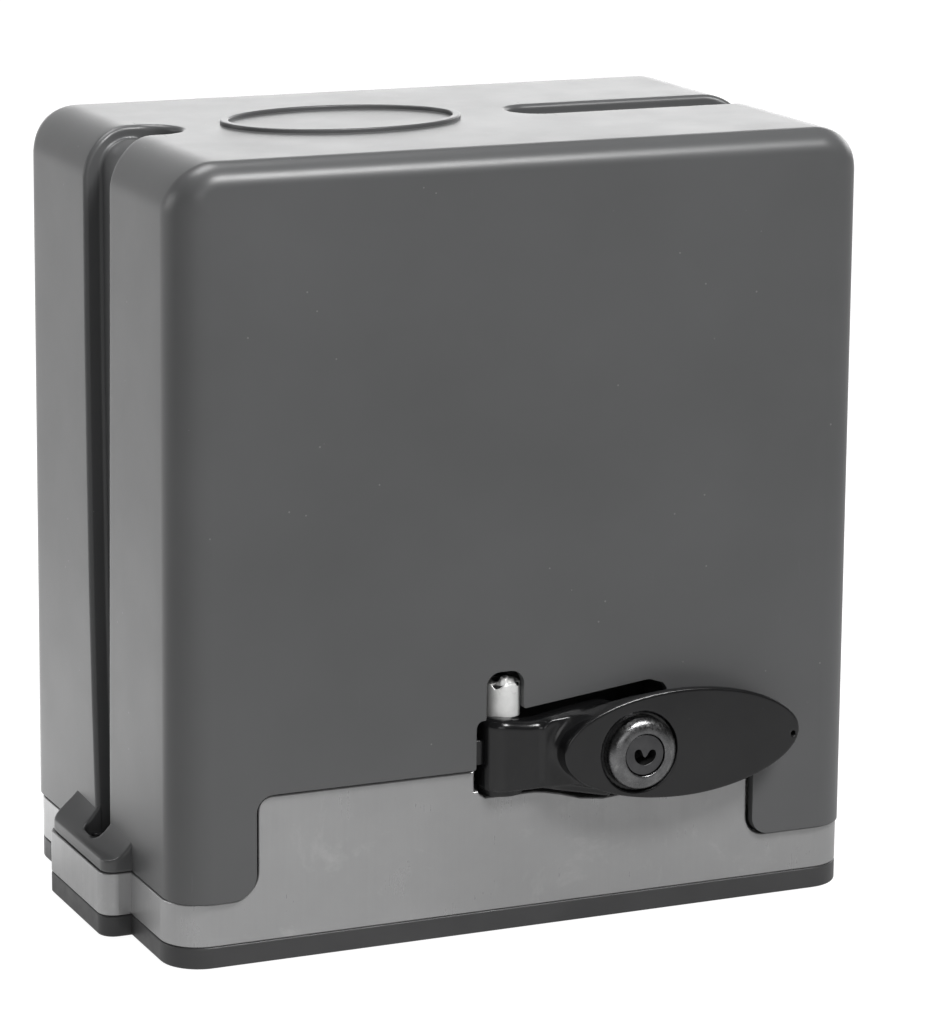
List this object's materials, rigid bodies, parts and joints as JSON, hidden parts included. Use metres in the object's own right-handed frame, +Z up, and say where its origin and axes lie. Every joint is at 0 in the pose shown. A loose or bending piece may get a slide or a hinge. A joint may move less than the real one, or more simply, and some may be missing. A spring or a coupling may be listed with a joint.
{
  "type": "sliding gate motor",
  "caption": "Compact sliding gate operator: lift-off moulded cover on a cast gearbox base, keyed swing-out release lever at the front and rack pinion at the back.",
  "frame": {"origin": "middle of the underside of the base plate, where the operator stands on its foundation", "axes": "+X to the right along the front with the release lever, +Y back towards the gate and its rack, +Z up"},
  "size_m": [0.2376, 0.1808, 0.2359],
  "materials": {
    "grey_moulding": "satin moulded plastic",
    "dark_moulding": "fine matte",
    "cast_case": "satin cast and machined",
    "bright_cast": "satin",
    "steel": "ground",
    "zinc_steel": "zinc plated",
    "bronze": "machined",
    "pinion_steel": "zinc plated",
    "lamination": "varnished sheet steel",
    "copper_wire": "enamelled wire",
    "black_gloss": "gloss",
    "black_plastic": "matte",
    "white_plastic": "satin",
    "green_board": "solder mask",
    "terminal_green": "satin",
    "relay_blue": "satin",
    "seal_rubber": "matte",
    "wire_grey": "satin",
    "dark_chrome": "black chrome, worn",
    "can_metal": "drawn",
    "coil_tape": "tape"
  },
  "bodies": {
    "base": {"back_shaft_bearing": "steel", "base_plate": "dark_moulding", "base_screws": "zinc_steel", "bearing_cap": "bright_cast", "board_capacitors": "black_gloss", "board_carrier": "black_plastic", "board_chips": "black_plastic", "board_screws": "zinc_steel", "cable_grommet": "seal_rubber", "cap_screws": "steel", "capacitor_clamp": "zinc_steel", "carrier_screws": "zinc_steel", "control_board": "green_board", "deck_posts": "zinc_steel", "deck_screws": "steel", "earth_screw": "zinc_steel", "front_shaft_bearing": "steel", "fuse_holder": "white_plastic", "gearbox_case": "cast_case", "gearbox_deck": "cast_case", "limit_sensor": "black_plastic", "lower_motor_bearing": "steel", "lower_worm_bearing": "steel", "motor_end_shield": "bright_cast", "motor_leads": "wire_grey", "motor_tie_bolts": "zinc_steel", "oil_seal": "seal_rubber", "pivot_pin": "steel", "pivot_washer": "black_plastic", "post_screws": "zinc_steel", "relays": "relay_blue", "run_capacitor": "can_metal", "sensor_lead": "wire_grey", "stator_core": "lamination", "stator_winding": "copper_wire", "terminal_block": "terminal_green", "transformer_coil": "coil_tape", "transformer_core": "lamination", "upper_motor_bearing": "steel"},
    "cover": {"cover": "grey_moulding", "cover_screws": "zinc_steel"},
    "lever": {"release_lever": "black_gloss", "lock_ring": "dark_chrome", "lock_body": "dark_chrome", "lock_nut": "zinc_steel"},
    "lock_plug": {"lock_plug": "dark_chrome", "lock_cam": "zinc_steel", "cam_screw": "zinc_steel"},
    "push_rod": {"release_push_rod": "steel"},
    "output": {"output_shaft": "steel", "worm_wheel": "bronze", "drive_pinion": "pinion_steel", "pinion_key": "steel", "pinion_washer": "zinc_steel", "pinion_bolt": "zinc_steel", "shaft_circlips": "steel", "return_spring": "steel"},
    "clutch": {"clutch_pin": "steel"},
    "rotor": {"worm_shaft": "steel", "rotor_core": "lamination"}
  },
  "joints": [
    {"name": "cover_lift", "type": "slide", "parent": "base", "child": "cover", "axis": [0, 0, 1], "range_m": [0, 0.26]},
    {"name": "lever_turn", "type": "hinge", "parent": "base", "child": "lever", "pos_m": [-0.0056, -0.06, 0.0555], "axis": [0, 0, 1], "range_deg": [-90, 0]},
    {"name": "lock_turn", "type": "hinge", "parent": "lever", "child": "lock_plug", "pos_m": [0.0316, -0.07, 0.0544], "axis": [0, 1, 0], "range_deg": [-90, 0]},
    {"name": "pinion_turn", "type": "hinge", "parent": "base", "child": "output", "pos_m": [-0.0056, 0, 0.0555], "axis": [0, 1, 0], "continuous": true},
    {"name": "motor_turn", "type": "hinge", "parent": "base", "child": "rotor", "pos_m": [-0.0476, 0.002, 0.0555], "axis": [0, 0, 1], "continuous": true},
    {"name": "push_rod_slide", "type": "slide", "parent": "base", "child": "push_rod", "axis": [0, 1, 0], "range_m": [0, 0.0036]},
    {"name": "clutch_slide", "type": "slide", "parent": "output", "child": "clutch", "axis": [0, 1, 0], "range_m": [0, 0.0036], "deforming": ["return_spring"]}
  ],
  "couplings": [
    {"joint": "motor_turn", "follows": "pinion_turn", "ratio": -32},
    {"joint": "push_rod_slide", "follows": "lever_turn", "m_per_rad": -0.0022282},
    {"joint": "clutch_slide", "follows": "lever_turn", "m_per_rad": -0.0022282}
  ]
}
